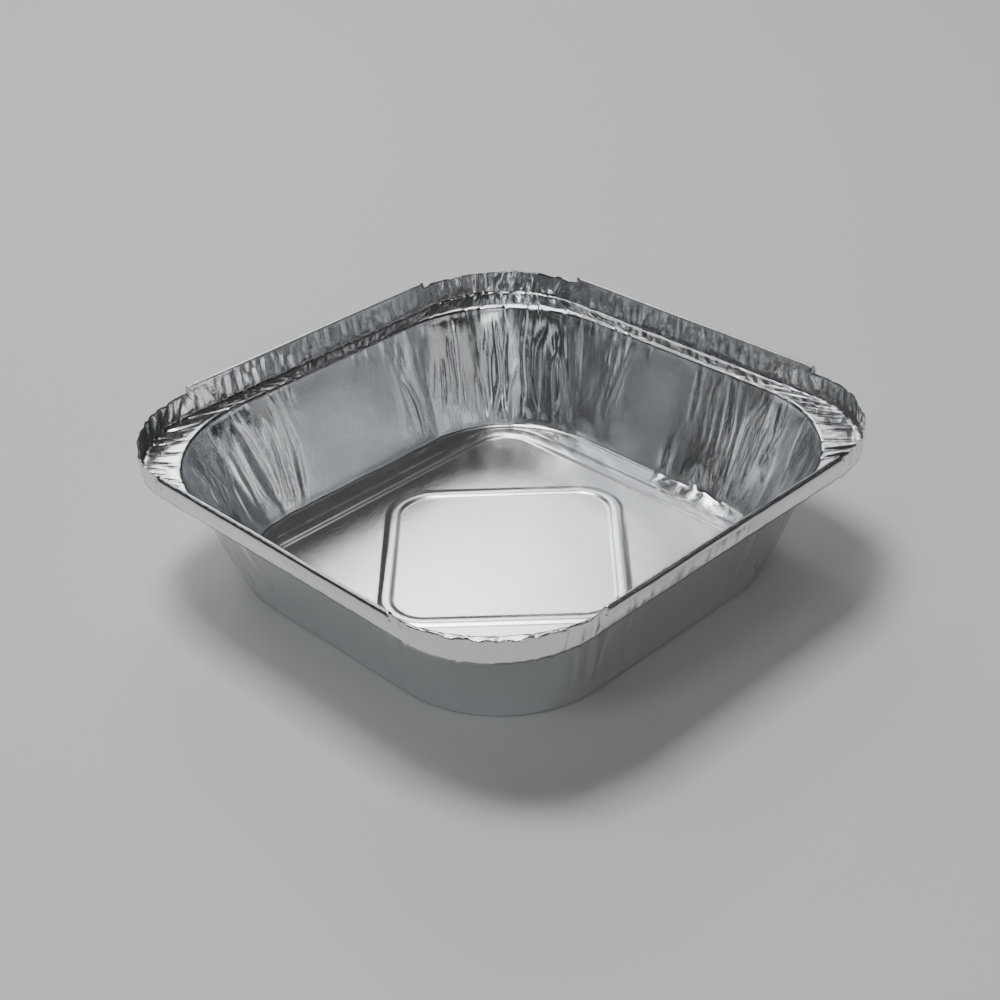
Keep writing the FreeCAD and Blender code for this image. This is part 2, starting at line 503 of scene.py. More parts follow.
@dataclass(frozen=True)
class Band:
    """One long facet of a wall's drawn foil.

    path holds points from the top down: distance from the wall's start, share of the wall's height, and
    half width. tilt from -1 to 1 turns the facet about its own length, and the rest of it bulges.
    """

    wall: Wall
    path: tuple[tuple[float, float, float], ...]
    depth: float
    tilt: float

    def height(self, along: Array, share: Array, start: float, length: float) -> Array:
        """Height of the facet above the wall.

        Across the band, with x the distance from its middle over its half width, the height is
        BAND_DEPTH * depth * (tilt * x + (1 - |tilt|) * (1 - x*x)) * edge, where edge falls from 1 to 0
        over BAND_EDGE of |x|. Middle and half width run straight between the path's points, and the half
        width rounds off to nothing at the ends.

        Args:
            along: distance round the tray, one value per column.
            share: share of the wall's height, one value per row.
            start: where the band's wall starts.
            length: distance round the whole tray.

        Returns:
            Millimetres, rows by columns.
        """
        place, level, width = np.array(self.path[::-1]).T
        middle = np.interp(share, level, place)[:, None]
        low_end = np.clip((share - level[0]) / BAND_END, 0.0, 1.0)
        high_end = np.clip((level[-1] - share) / BAND_END, 0.0, 1.0)
        if level[-1] > BAND_OPEN_TOP:
            high_end = np.ones_like(share)
        wide = np.interp(share, level, np.maximum(width, BAND_LEAST_HALF))
        half = (BAND_WIDTH * wide * np.sqrt(low_end * high_end))[:, None]
        distance = (along[None, :] - start - middle + length / 2) % length - length / 2
        x = distance / np.maximum(half, BAND_LEAST_DIVISOR)
        edge = 1 - smooth_step(*BAND_EDGE, np.abs(x))
        x = np.clip(x, -1.0, 1.0)
        shape = self.tilt * x + (1 - abs(self.tilt)) * (1 - x * x)
        return BAND_DEPTH * self.depth * shape * edge * np.minimum(half / BAND_LEAST_HALF, 1.0)


# The long facets that can be told apart in the far corners, each with its path, depth and tilt.
BACK_RIGHT_BANDS = (
    (((31.7, .97, .4), (31.0, .76, 1.0), (30.0, .53, 1.4)), 0.7, 0.8),
    (((22.7, 1.0, .7), (21.1, .69, 1.0), (18.6, .37, .8)), 0.6, 0.8),
    (((13.9, .97, 1.3), (10.2, .61, 2.0), (7.6, .08, 1.5)), 0.9, 0.9),
    (((11.0, .99, .6), (7.1, .63, .8), (7.2, .33, .6)), -0.5, 0.5),
    (((-4.3, .93, .6), (-.1, .66, 1.4), (-1.0, .18, 1.3)), 0.8, 0.9),
    (((-10.9, .82, .6), (-6.6, .63, 1.3), (-8.3, .04, 1.3)), 0.8, 0.9),
    (((-12.3, 1.0, .8), (-15.8, .69, .8)), -0.6, 0.3),
    (((-17.2, .68, .8), (-19.6, .32, 1.1)), 0.8, 0.9),
    (((-17.9, 1.0, .7), (-17.2, .7, .7), (-14.4, .4, .7)), -0.6, 0.4),
    (((-29.2, .98, .7), (-30.0, .71, .8), (-33.8, .4, .8)), -0.5, 0.4),
    (((69.5, .96, 2.2), (74.7, .61, 1.8), (79.1, .2, 1.4)), 0.5, 0.7),
    (((75.4, .92, 1.6), (79.0, .58, 1.4), (82.9, .2, 1.1)), 0.4, -0.7),
    (((82.0, 1.0, .7), (82.4, .74, .7), (82.4, .64, .7)), -0.6, 0.4),
    (((106.6, 1.0, .8), (104.9, .76, .8)), 0.5, 0.5),
    (((109.7, 1.0, .8), (107.9, .66, .9), (103.4, .36, .7)), 0.6, 0.7),
    (((114.0, .82, 1.1), (112.6, .63, .8)), -0.6, 0.6),
    (((112.0, .62, 1.6), (111.0, .33, 1.7), (109.4, .05, 2.0)), 0.8, 0.9),
    (((117.3, .88, .9), (121.8, .7, 2.3), (121.9, .42, 2.5), (120.2, .13, 1.2)), -0.8, 0.5),
    (((126.8, .97, 1.0), (129.2, .64, .9), (127.8, .25, 1.1), (129.7, .05, .9)), 0.7, 0.9),
    (((130.5, .56, .7), (132.8, .45, 1.0), (136.1, .27, .7)), 0.6, 0.8),
    (((137.1, .85, .8), (138.2, .53, 1.0), (138.5, .1, 1.2)), -0.7, 0.3),
    (((142.1, .91, 1.1), (140.7, .61, 1.3), (139.8, .37, 1.7), (144.8, .06, 1.3)), 0.8, 0.9),
    (((144.7, .7, .7), (145.7, .46, .8), (145.3, .2, .7)), -0.6, 0.4),
    (((146.4, .86, 1.1), (148.1, .7, 1.0), (149.1, .52, .8)), 0.6, -0.8),
    (((152.1, .5, .8), (151.0, .31, 1.5), (150.2, .04, 1.7)), 0.8, 0.9),
    (((160.5, .55, .7), (160.8, .34, 1.1), (160.6, .12, 1.3)), 0.7, 0.7),
    (((162.3, .97, 1.5), (161.5, .74, 1.1), (161.4, .53, .7)), 0.7, -0.9),
    (((164.5, .84, .8), (164.3, .66, 1.2), (163.6, .43, 1.3), (164.3, .17, 1.1)), 0.8, 0.9),
    (((169.5, .67, .8), (170.2, .46, 1.0), (171.5, .21, .9)), -0.6, 0.3),
    (((172.8, .7, .7), (175.1, .48, .9), (177.3, .3, .8)), 0.6, 0.8),
)

BACK_LEFT_BANDS = (
    (((5.1, .93, .8), (4.7, .79, .8), (5.7, .58, .7)), 0.6, 0.6),
    (((7.6, .98, .7), (9.3, .81, .7), (10.8, .64, .7)), -0.6, 0.3),
    (((10.8, .66, .7), (7.3, .51, 1.6), (4.6, .33, 2.2), (3.3, .06, 1.8)), 0.9, 0.9),
    (((68.3, .98, .8), (69.0, .84, 1.0), (67.0, .58, .7)), 0.5, 0.7),
    (((76.7, 1.0, .8), (79.2, .87, .8)), 0.6, 0.6),
    (((77.7, .95, 1.4), (78.0, .77, 1.8), (78.2, .48, 2.4), (83.0, .05, 2.4)), 1.1, 0.9),
    (((85.7, .82, 1.6), (87.1, .55, 2.3), (90.8, .05, 2.3)), 1.0, -0.9),
    (((95.3, .95, .7), (93.8, .78, 1.0), (93.2, .6, .8)), 0.5, 0.7),
    (((101.0, .9, 2.0), (101.0, .71, 3.2), (100.3, .44, 4.0), (99.0, .12, 3.5)), 1.2, 0.9),
    (((107.9, .98, .7), (111.7, .75, .8), (118.4, .44, .8), (119.5, .07, .9)), -0.7, 0.3),
    (((110.3, .72, 1.0), (110.0, .5, 1.9), (108.8, .22, 1.5)), 0.9, 0.9),
    (((122.5, .63, .7), (123.7, .45, 1.1), (125.6, .3, 1.0)), -0.7, 0.6),
    (((124.4, .97, .8), (126.0, .73, 1.4), (127.5, .59, 1.0)), 0.8, 0.9),
)


@dataclass(frozen=True)
class FoldLayout:
    """Which folds the walls have: those seen in the far corners, and scattered ones where none is named."""

    seed: int
    scattered_per_corner: int = 20
    corner_span: float = 110.0
    top_shares: Pair = (0.72, 1.0)
    bottom_shares: Pair = (0.05, 0.35)
    half_widths: Pair = (1.4, 3.2)
    depths: Pair = (0.4, 0.9)
    tilts: tuple[float, ...] = (-0.9, -0.5, 0.4, 0.8, 0.9)
    unevenness: float = 0.33
    lean: float = 3.0

    def bands(self, side_length: float, corner_length: float) -> list[Band]:
        """All the walls' long facets.

        Args:
            side_length: straight length of a wall at its top.
            corner_length: length of a corner at its top.

        Returns:
            The named bands, and scattered ones at the corners.
        """
        named = [Band(Wall.BACK_RIGHT, *row) for row in BACK_RIGHT_BANDS]
        named += [Band(Wall.BACK_LEFT, *row) for row in BACK_LEFT_BANDS]
        # Where no fold is named: round each corner and a little way along both sides, less the seen part.
        spans = {
            Wall.FRONT_RIGHT: (side_length - 16.0, side_length + corner_length * 0.66),
            Wall.BACK_LEFT: (side_length + corner_length * 0.4, side_length + corner_length + 18.0),
            Wall.FRONT_LEFT: (side_length - 22.0, side_length + corner_length + 22.0),
        }
        return named + [band for wall, span in spans.items() for band in self.scattered(wall, *span)]

    def scattered(self, wall: Wall, low: float, high: float) -> list[Band]:
        """Scatters bands between two places of a wall, a third of a step from even spacing.

        Args:
            wall: the wall.
            low: first place.
            high: last place.

        Returns:
            The bands.
        """
        rng = np.random.default_rng((self.seed, 90 + wall.value))
        count = max(1, int(self.scattered_per_corner * (high - low) / self.corner_span))
        step = (high - low) / count
        bands = []
        for place in low + step * (np.arange(count) + 0.5):
            top, bottom = rng.uniform(*self.top_shares), rng.uniform(*self.bottom_shares)
            head = place + rng.uniform(-self.unevenness, self.unevenness) * step
            x = head + np.array([0.0, 0.5, 1.0]) * rng.normal(0.0, self.lean)
            wide = rng.uniform(*self.half_widths)
            path = ((x[0], top, 0.6 * wide), (x[1], (top + bottom) / 2, wide), (x[2], bottom, 0.9 * wide))
            bands.append(Band(wall, path, rng.uniform(*self.depths), rng.choice(self.tilts)))
        return bands


def smooth_step(low: float | Array, high: float | Array, value: Array) -> Array:
    """Rises from 0 at low to 1 at high as 3t^2 - 2t^3."""
    t = np.clip((value - low) / (high - low), 0.0, 1.0)
    return t * t * (3 - 2 * t)


# Where the dented wall's foot goes, in place of the solid's plainer dent: distance along the side towards
# the front, then push inward and rise at the base's edge, at the foot's end and up the wall.
DENT_FOOT = (
    (-12.0, (0.0, 0.0), (0.0, 0.0), (0.0, 0.0)),
    (4.5, (0.2, 0.2), (0.3, 0.2), (0.3, 0.0)),
    (7.0, (0.5, 0.9), (1.3, 0.9), (0.5, 0.2)),
    (9.5, (0.3, 0.2), (0.4, 0.3), (0.3, 0.0)),
    (12.8, (1.6, 0.6), (1.9, 0.4), (0.8, 0.0)),
    (18.0, (1.4, 1.3), (1.7, 1.3), (1.0, 0.2)),
    (23.7, (0.4, 1.0), (1.0, 1.6), (1.0, 0.3)),
    (26.1, (-1.6, 2.6), (-1.0, 2.9), (0.8, 0.4)),
    (29.1, (2.6, 0.2), (1.0, 1.4), (0.9, 0.3)),
    (32.2, (0.6, 1.4), (0.5, 1.7), (0.8, 0.2)),
    (38.7, (1.6, 0.1), (1.4, 0.6), (0.6, 0.0)),
    (46.0, (0.5, 0.4), (0.6, 0.4), (0.3, 0.0)),
    (58.0, (0.0, 0.0), (0.0, 0.0), (0.0, 0.0)),
)


# Layers of creases: on the walls, on the shelf, on the lip and along its raw edge, and on the hems.
FACETS, WAVES = Pattern.FACETS, Pattern.WAVES
WALL_LEAN = Creases(WAVES, 0.12, (22.0, 5.0), 7)
WALL_FACETS = (Creases(FACETS, 0.80, (7.5, 28.0), 1), Creases(FACETS, 0.07, (3.4, 17.0), 2))
WALL_FINE = Creases(FACETS, 0.03, (1.9, 7.0), 3, 0.3)
WALL_WAVES = (Creases(WAVES, 0.30, (26.0, 60.0), 4), Creases(WAVES, 0.10, (7.0, 40.0), 5))
WALL_CRINKLE = Creases(FACETS, 0.12, (4.0, 9.0), 6)
SHELF_CRUMPLES = (Creases(FACETS, 0.13, (2.4, 2.6), 11), Creases(WAVES, 0.07, (6.0, 9.0), 12))
LIP_PLEATS = (Creases(FACETS, 0.46, (4.2, 9.0), 21, 0.3), Creases(FACETS, 0.50, (1.9, 7.0), 22, 0.2))
LIP_CRUMPLES = (Creases(FACETS, 0.42, (6.0, 6.0), 23, 0.5), Creases(FACETS, 0.20, (3.4, 5.0), 24, -0.6))
LIP_PATCHES = Creases(WAVES, 1.0, (16.0, 5.0), 26)
LIP_SWAY = Creases(WAVES, 0.22, (30.0, 40.0), 25)
EDGE_WAVES = (Creases(FACETS, 0.60, (2.6, 5.0), 31), Creases(WAVES, 0.30, (12.0, 5.0), 32),
              Creases(FACETS, 0.25, (1.5, 5.0), 33))
HEM_RIPPLES = (Creases(WAVES, 0.14, (30.0, 40.0), 41), Creases(FACETS, 0.10, (7.0, 5.0), 42))
HEM_RISE = Creases(WAVES, 0.10, (17.0, 5.0), 43)

# How far along a side each kind of crease reaches from its corner, in millimetres.
FACET_REACH, CRINKLE_REACH, SHELF_REACH, LIP_REACH, SHEEN_REACH = 26.0, 44.0, 12.0, 9.0, 30.0
# How far past its corner a layout of grooves runs, on the shelf and over the round.
SHELF_OVERRUN, ROUND_OVERRUN = 8.0, 38.0
# How creased and how crumpled each area looks, from 0 to 1. The rim is the shelf and the lip.
CREASED_BASE, CREASED_WALL, CREASED_HEM, CREASED_RIM = 0.1, 0.25, 0.4, 0.9
CRUMPLED_SHELF, CRUMPLED_WALL, CRUMPLED_HEM, CRUMPLED_LIP = 0.1, 0.15, 0.15, 0.7


@dataclass(frozen=True)
class Grooves:
    """A layout of narrow grooves across the section, so many in each quarter of the tray.

    width and depth give the least and greatest half width and depth of a groove.
    """

    count: int
    key: int
    width: Pair
    depth: Pair
    unevenness: float = 0.4
    lean: float = 0.15


SHELF_GROOVES = Grooves(19, 51, (0.7, 1.6), (0.10, 0.65))
ROUND_GROOVES = Grooves(17, 52, (0.7, 1.0), (0.25, 0.55))


@dataclass
class TrayBuilder:
    """Builds the tray's sheet and dresses it."""

    sizes: TraySizes = field(default_factory=TraySizes)
    side_count: int = 76
    corner_count: int = 112
    seed: int = 7

    def __post_init__(self) -> None:
        """Lays out the columns and the section."""
        self.columns = Columns.spread(self.side_count, self.corner_count)
        self.section = Section.of_tray(self.sizes)
        self.along = self.columns.distance(self.sizes.wall_top_half, self.sizes.wall_top_radius)
        self.side_length = 2 * (self.sizes.wall_top_half - self.sizes.wall_top_radius)
        self.corner_length = self.sizes.wall_top_radius * math.pi / 2
        self.quarter_length = self.side_length + self.corner_length
        self.length = 4 * self.quarter_length
        self.noise = Noise(self.seed, self.length)

    def cornerness(self, spread: float) -> Array:
        """How near each column is to a corner, 1 in it, falling to 0 at a distance along the side.

        Args:
            spread: that distance in millimetres.

        Returns:
            One value per column.
        """
        from_corner = self.side_length / 2 * (1 - np.abs(self.columns.share))
        near = 1 - smooth_step(0.0, spread, from_corner)
        return np.where(self.columns.on_corner, 1.0, near)

    def wall_heights(self) -> Array:
        """Height of the walls' creases: long facets, finer facets at the corners, soft waves on the sides.

        Returns:
            Millimetres, rows by columns.
        """
        share = self.section.wall
        up = share[:, None] * (self.sizes.shelf_height - self.sizes.foot_rise)
        along = self.along[None, :] + 0 * up
        corner = self.cornerness(FACET_REACH)[None, :]
        near_corner = self.cornerness(CRINKLE_REACH)[None, :]
        n = self.noise
        leaning = along + up * WALL_LEAN.heights(n, along, 0 * up)
        facets = stacked(WALL_FACETS, n, leaning, up) + WALL_FINE.heights(n, along, up)
        soft = stacked(WALL_WAVES, n, along, up)
        crinkle = WALL_CRINKLE.heights(n, along, up) * smooth_step(0.45, 0.9, share)[:, None]
        bands = np.zeros_like(along)
        for band in FoldLayout(self.seed).bands(self.side_length, self.corner_length):
            bands += band.height(self.along, share, band.wall.value * self.quarter_length, self.length)
        fade = ((1 - 0.8 * smooth_step(0.9, 1.0, share))
                * self.section.foot * (0.55 + 0.45 * smooth_step(0.0, 0.12, share))
                * (self.section.lip == 0) * (1 - smooth_step(0.0, 0.2, self.section.shelf)))
        return (corner * facets + near_corner * crinkle + soft + bands) * fade[:, None]

    def groove_depths(self, layout: Grooves, overrun: float, reach: Array) -> Array:
        """Depth of the grooves, each a tent, depth * (1 - |x| / width).

        Args:
            layout: the grooves.
            overrun: how far the layout runs past both ends of a corner.
            reach: share of the depth at each row.

        Returns:
            Millimetres below the surface, rows by columns.
        """
        result = np.zeros((len(reach), len(self.along)))
        low, high = self.side_length - overrun, self.side_length + self.corner_length + overrun
        step = (high - low) / layout.count
        outward = (self.section.half - self.sizes.wall_top_half)[:, None]
        for quarter in range(4):
            rng = np.random.default_rng((self.seed, layout.key, quarter))
            start = quarter * self.quarter_length + low
            for k in range(layout.count):
                middle = start + step * (k + 0.5 + rng.uniform(-layout.unevenness, layout.unevenness))
                lean = rng.normal(0.0, 1.0) * outward * layout.lean
                x = (self.along[None, :] - middle - lean + self.length / 2) % self.length - self.length / 2
                tent = np.clip(1 - np.abs(x) / rng.uniform(*layout.width), 0.0, 1.0)
                result = np.maximum(result, rng.uniform(*layout.depth) * tent * reach[:, None])
        return result

    def shelf_heights(self) -> Array:
        """Height of the shelf's creases: grooves at the corners, notches over the inner round, crumples.

        Returns:
            Millimetres, rows by columns.
        """
        section = self.section
        s = section.shelf[:, None]
        up = s * self.sizes.shelf_width
        along = self.along[None, :] + 0 * up
        corner = self.cornerness(SHELF_REACH)[None, :]
        on_shelf = section.shelf * (section.lip < 0.01)
        radial = self.groove_depths(SHELF_GROOVES, SHELF_OVERRUN, smooth_step(0.15, 0.5, on_shelf))
        over_round = smooth_step(0.88, 1.0, section.wall) * (1 - smooth_step(0.3, 0.9, section.shelf))
        across = self.groove_depths(ROUND_GROOVES, ROUND_OVERRUN, over_round)
        crumples = stacked(SHELF_CRUMPLES, self.noise, along, up)
        return crumples * smooth_step(0.0, 0.25, s) * (1 - 0.55 * corner) - radial * corner - across

    def lip_heights(self) -> Array:
        """Height of the lip's creases: dense leaning pleats at the corners, patches of crumples on the flaps.

        Returns:
            Millimetres, rows by columns.
        """
        t = self.section.lip[:, None]
        up = t * self.sizes.lip_height
        along = self.along[None, :] + 0 * up
        corner = self.cornerness(LIP_REACH)[None, :]
        n = self.noise
        pleats = stacked(LIP_PLEATS, n, along, up)
        patches = 0.35 + 0.65 * smooth_step(-0.2, 0.6, LIP_PATCHES.heights(n, along, 0 * up))
        crumples = stacked(LIP_CRUMPLES, n, along, up) * patches
        grow = smooth_step(0.0, 0.3, t)
        hem = 1 - 0.6 * smooth_step(0.75, 1.0, t) * (1 - corner)
        return ((corner * pleats + (1 - corner) * crumples) * hem + LIP_SWAY.heights(n, along, up)) * grow

    def edge_wave(self) -> Array:
        """Rise and fall of the corner lips' raw edge, 0 on the flaps.

        Returns:
            Millimetres, one value per column.
        """
        wave = stacked(EDGE_WAVES, self.noise, self.along, np.zeros_like(self.along))
        share = np.where(self.columns.on_corner, self.columns.share, 0.0)
        return wave * smooth_step(0.0, 0.03, share) * smooth_step(0.0, 0.03, 1 - share)

    def dent(self, along_side: Array) -> tuple[Array, Array]:
        """How far the dented wall's foot is pushed in and up.

        Both run straight between the knots of DENT_FOOT along the side, and straight up the section from
        nothing in the flat margin, through the base's edge, the foot's end and the wall, to nothing again.

        Args:
            along_side: distance from the middle of the side, rows by columns.

        Returns:
            The push inward and the rise.
        """
        s = self.sizes
        section = self.section
        knots = np.array([row[0] for row in DENT_FOOT])
        margin = np.clip((section.half - section.half[0]) / (s.base_half - section.half[0]), 0.0, 1.0)
        climb = np.clip((section.height - s.foot_rise) / (s.dent_top - s.foot_rise), 0.0, 1.0)
        place = margin + section.foot + 2.0 * climb
        place = np.where(section.shelf > 0, 4.0, place)
        shares = np.array([np.interp(place, range(5), row) for row in np.eye(5)[1:4]])
        moves = np.array([row[1:] for row in DENT_FOOT])
        inward, rise = (sum(share[:, None] * np.interp(along_side, knots, moves[:, level, which])
                            for level, share in enumerate(shares)) for which in (0, 1))
        return inward, rise

    def sheet_rows(self) -> tuple[Array, ...]:
        """The creased surface from the ridge to the corner lip's edge.

        Each point is the plain ring's point moved along the section's own normal by the heights above.

        Returns:
            x, y, z, creasing and crumpling, rows by columns.
        """
        section, columns = self.section, self.columns
        x, y, out_x, out_y = columns.place(section.half, section.radius)
        out, up = section.slope()
        heights = self.wall_heights() + self.shelf_heights() + self.lip_heights()
        dented = ((columns.quarter == Wall.BACK_RIGHT.value) & ~columns.on_corner
                  & (section.height < self.sizes.dent_top)[:, None])
        inward, rise = (np.where(dented, move, 0.0) for move in self.dent(x))
        push = heights * out[:, None] - inward
        z = section.height[:, None] + heights * up[:, None] + rise
        z = np.maximum(z + self.edge_wave() * (section.lip ** 2)[:, None], 0.0)
        corner = self.cornerness(SHEEN_REACH)[None, :]
        creasing = np.where(section.height[:, None] > self.sizes.foot_rise,
                            CREASED_WALL + (1 - CREASED_WALL) * corner, CREASED_BASE)
        creasing = np.maximum(creasing, CREASED_RIM * (section.shelf > 0.1)[:, None])
        creasing = np.maximum(creasing, CREASED_RIM * np.clip(np.abs(inward) + rise, 0.0, 1.0))
        upper = CRUMPLED_WALL * smooth_step(0.5, 1.0, section.wall)[:, None] * corner
        crumpling = np.where(section.lip[:, None] > 0, CRUMPLED_LIP,
                             np.where(section.shelf[:, None] > 0, CRUMPLED_SHELF, upper))
        return x + push * out_x, y + push * out_y, z, creasing, crumpling

    def hem_outline(self) -> tuple[Array, Array]:
        """The flap's edge in section: up, over a narrow flat, down and outward, and tucked back in.

        Returns:
            Half width and height of each row.
        """
        s = self.sizes
        top_half = s.crease_half + s.lip_lean * (s.lip_height + s.flap_rise) / s.lip_height
        top_height = s.shelf_height + s.lip_height + s.flap_rise
        out = s.hem_projection * np.array([0.0, 0.03, 0.12, 0.42, 0.66, 0.84, 1.0, 0.95, 0.75, 0.4])
        crown = s.hem_projection / 4 * np.array([0.0, 0.7, 1.0, 1.0, 0.6])
        fall = -s.hem_drop * np.array([0.25, 0.55, 0.8, 1.0, 1.0])
        return top_half + out, top_height + np.concatenate([crown, fall])

    def add_hem(self, sheet: FoilMesh, quarter: int, lip_row: Array) -> None:
        """Adds one flap above the corner lip's height, with its turned edge.

        Args:
            sheet: the sheet to add to.
            quarter: which side.
            lip_row: numbers of the last row's points.
        """
        count = self.side_count + self.corner_count
        index = (quarter * count + np.arange(self.side_count + 1)) % len(lip_row)
        half, height = self.hem_outline()
        columns = Columns(np.full(len(index), quarter), np.zeros(len(index), bool),
                          np.linspace(-1.0, 1.0, len(index)))
        x, y, out_x, out_y = columns.place(half, half - self.sizes.flap_half_length)
        along = self.along[index][None, :] + 0 * x
        rows = np.arange(len(half))[:, None] + 0 * x
        ripple = stacked(HEM_RIPPLES, self.noise, along, rows)
        rise = HEM_RISE.heights(self.noise, along, 0 * rows)
        hem = sheet.add_rows(x + ripple * out_x, y + ripple * out_y, height[:, None] + rise,
                             CREASED_HEM, CRUMPLED_HEM)
        sheet.join(np.vstack([lip_row[index][None, :], hem]), closed=False)

    def bead_rows(self, sheet: FoilMesh, half: float, radius: float, crest: float,
                  columns: Columns, turn: float) -> Array:
        """Adds a pressed ridge whose sides rise as 3t^2 - 2t^3, rounder than the plain section's.

        Args:
            sheet: the sheet to add to.
            half: half width at the middle of the crest.
            radius: corner radius there.
            crest: width of the crest.
            columns: the columns round it.
            turn: turn of the ridge in radians.

        Returns:
            Numbers of the ridge's points, rows by columns.
        """
        s = self.sizes
        slope = s.bead_slope_run + 2 * s.bead_easing
        reach = crest / 2 + slope - s.bead_easing
        side = np.append(-reach - s.bead_margin, -reach + slope * np.linspace(0.0, 1.0, 6))
        offset = np.concatenate([side, [0.0], -side[::-1]])
        height = s.bead_relief * smooth_step(-reach, slope - reach, -np.abs(offset))
        x, y, _, _ = columns.place(half + offset, radius + offset, turn)
        rows = sheet.add_rows(x, y, height[:, None] + 0 * x, 0.0)
        sheet.join(rows, closed=True)
        return rows

    def build(self) -> bpy.types.Object:
        """Builds the tray as one sheet with the foil's thickness.

        Returns:
            The tray's object.
        """
        sheet = FoilMesh()
        rows = sheet.add_rows(*self.sheet_rows())
        sheet.join(rows, closed=True)
        for quarter in range(4):
            self.add_hem(sheet, quarter, rows[-1])
        s = self.sizes
        ridge = self.bead_rows(sheet, s.ridge_half, s.ridge_radius, s.ridge_crest,
                               Columns.spread(20, 24), 0.0)
        panel = self.bead_rows(sheet, s.panel_half, s.panel_radius, s.panel_crest,
                               Columns.spread(14, 20), math.pi / 4)
        sheet.fill(rows[0], ridge[-1])
        sheet.fill(ridge[0], panel[-1])
        sheet.fill(panel[0], None)
        tray = placed("creased_foil_tray", sheet.build("creased_foil_tray"))
        wall = tray.modifiers.new("gauge", "SOLIDIFY")
        wall.thickness = s.gauge * MM
        wall.offset = 1.0
        return tray


@dataclass(frozen=True)
class FoilFinish:
    """Bright rolled aluminium foil: satin on the floor, with fine creases on the drawn walls.

    satin and bright are the roughness of plain and of creased foil. Scales are cells to the metre, and
    heights are metres.
    """

    colour: Colour = (0.80, 0.81, 0.82, 1.0)
    satin: float = 0.19
    bright: float = 0.11
    mottle_scale: float = 45.0
    mottle_roughness: float = 0.08
    grain_scale: float = 1900.0
    grain_height: float = 0.00004
    streak_scale: float = 420.0
    streak_height: float = 0.00008
    streak_squash: float = 0.12
    crumple_scale: float = 250.0
    crumple_height: float = 0.0007
    crumple_squash: float = 0.4

    def material(self) -> bpy.types.Material:
        """Makes the material.

        Roughness falls from the satin floor to the creased walls with the creasing attribute. A fine
        grain, upright streaks and, by the crumpling attribute, small upright cells are bumped in from
        Object coordinates, one over the other.

        Returns:
            The material.
        """
        material = bpy.data.materials.new("drawn_foil")
        material.use_nodes = True
        tree = material.node_tree
        shader = tree.nodes["Principled BSDF"]
        shader.inputs["Metallic"].default_value = 1.0
        shader.inputs["Base Color"].default_value = self.colour
        place = self.node(tree, "TexCoord").outputs["Object"]
        creasing, crumpling = (self.node(tree, "Attribute", attribute_name=name).outputs["Fac"]
                               for name in ("creasing", "crumpling"))
        rough = self.node(tree, "MapRange", {"To Min": self.satin, "To Max": self.bright, "Value": creasing})
        mottle = self.node(tree, "TexNoise", {"Scale": self.mottle_scale, "Detail": 3.0, "Vector": place})
        vary = self.node(tree, "Math", {0: mottle.outputs["Fac"], 1: self.mottle_roughness,
                                        2: rough.outputs["Result"]}, operation="MULTIPLY_ADD")
        tree.links.new(vary.outputs["Value"], shader.inputs["Roughness"])

        drawn_out, upright = (self.node(tree, "Mapping", {"Scale": (1.0, 1.0, squash), "Vector": place})
                              for squash in (self.streak_squash, self.crumple_squash))
        grain = self.node(tree, "TexNoise", {"Scale": self.grain_scale, "Detail": 2.0, "Vector": place})
        streak = self.node(tree, "TexNoise", {"Scale": self.streak_scale, "Detail": 3.0,
                                              "Vector": drawn_out.outputs["Vector"]})
        cells = self.node(tree, "TexVoronoi", {"Scale": self.crumple_scale,
                                               "Vector": upright.outputs["Vector"]})
        normal = {}
        for strength, distance, height in ((1.0, self.grain_height, grain.outputs["Fac"]),
                                           (creasing, self.streak_height, streak.outputs["Fac"]),
                                           (crumpling, self.crumple_height, cells.outputs["Distance"])):
            bump = self.node(tree, "Bump", {"Strength": strength, "Distance": distance, "Height": height,
                                            **normal})
            normal = {"Normal": bump.outputs["Normal"]}
        tree.links.new(normal["Normal"], shader.inputs["Normal"])
        return material

    @staticmethod
    def node(tree: bpy.types.NodeTree, kind: str, inputs: dict | None = None,
             **options: str) -> bpy.types.Node:
        """Adds one node.

        Args:
            tree: the material's nodes.
            kind: type of the node, without ShaderNode.
            inputs: a value or another node's output for each input that is set, by name or number.
            options: other properties of the node.

        Returns:
            The node.
        """
        node = tree.nodes.new("ShaderNode" + kind)
        for option, value in options.items():
            setattr(node, option, value)
        for key, value in (inputs or {}).items():
            if isinstance(value, bpy.types.NodeSocket):
                tree.links.new(value, node.inputs[key])
            else:
                node.inputs[key].default_value = value
        return node


def placed(name: str, data: bpy.types.ID) -> bpy.types.Object:
    """Adds an object with its data to the scene."""
    thing = bpy.data.objects.new(name, data)
    bpy.context.scene.collection.objects.link(thing)
    return thing


def direction(azimuth_deg: float, elevation_deg: float) -> Vector:
    """Unit vector towards an azimuth, anticlockwise from the front (-Y), and an elevation."""
    azimuth, elevation = math.radians(azimuth_deg), math.radians(elevation_deg)
    return Vector((math.sin(azimuth) * math.cos(elevation), -math.cos(azimuth) * math.cos(elevation),
                   math.sin(elevation)))


@dataclass(frozen=True)
class Softbox:
    """One soft rectangular light that looks at the tray. size and distance are metres, power is watts."""

    name: str
    azimuth_deg: float
    elevation_deg: float
    size: Pair
    power: float
    colour: tuple[float, float, float] = (1.0, 1.0, 1.0)
    distance: float = 2.2

    def build(self) -> None:
        """Adds the light."""
        data = bpy.data.lights.new(self.name, "AREA")
        data.color = self.colour
        data.shape = "RECTANGLE"
        data.size, data.size_y = self.size
        data.energy = self.power
        light = placed(self.name, data)
        towards = direction(self.azimuth_deg, self.elevation_deg)
        light.location = towards * self.distance
        light.rotation_euler = (-towards).to_track_quat("-Z", "Y").to_euler()


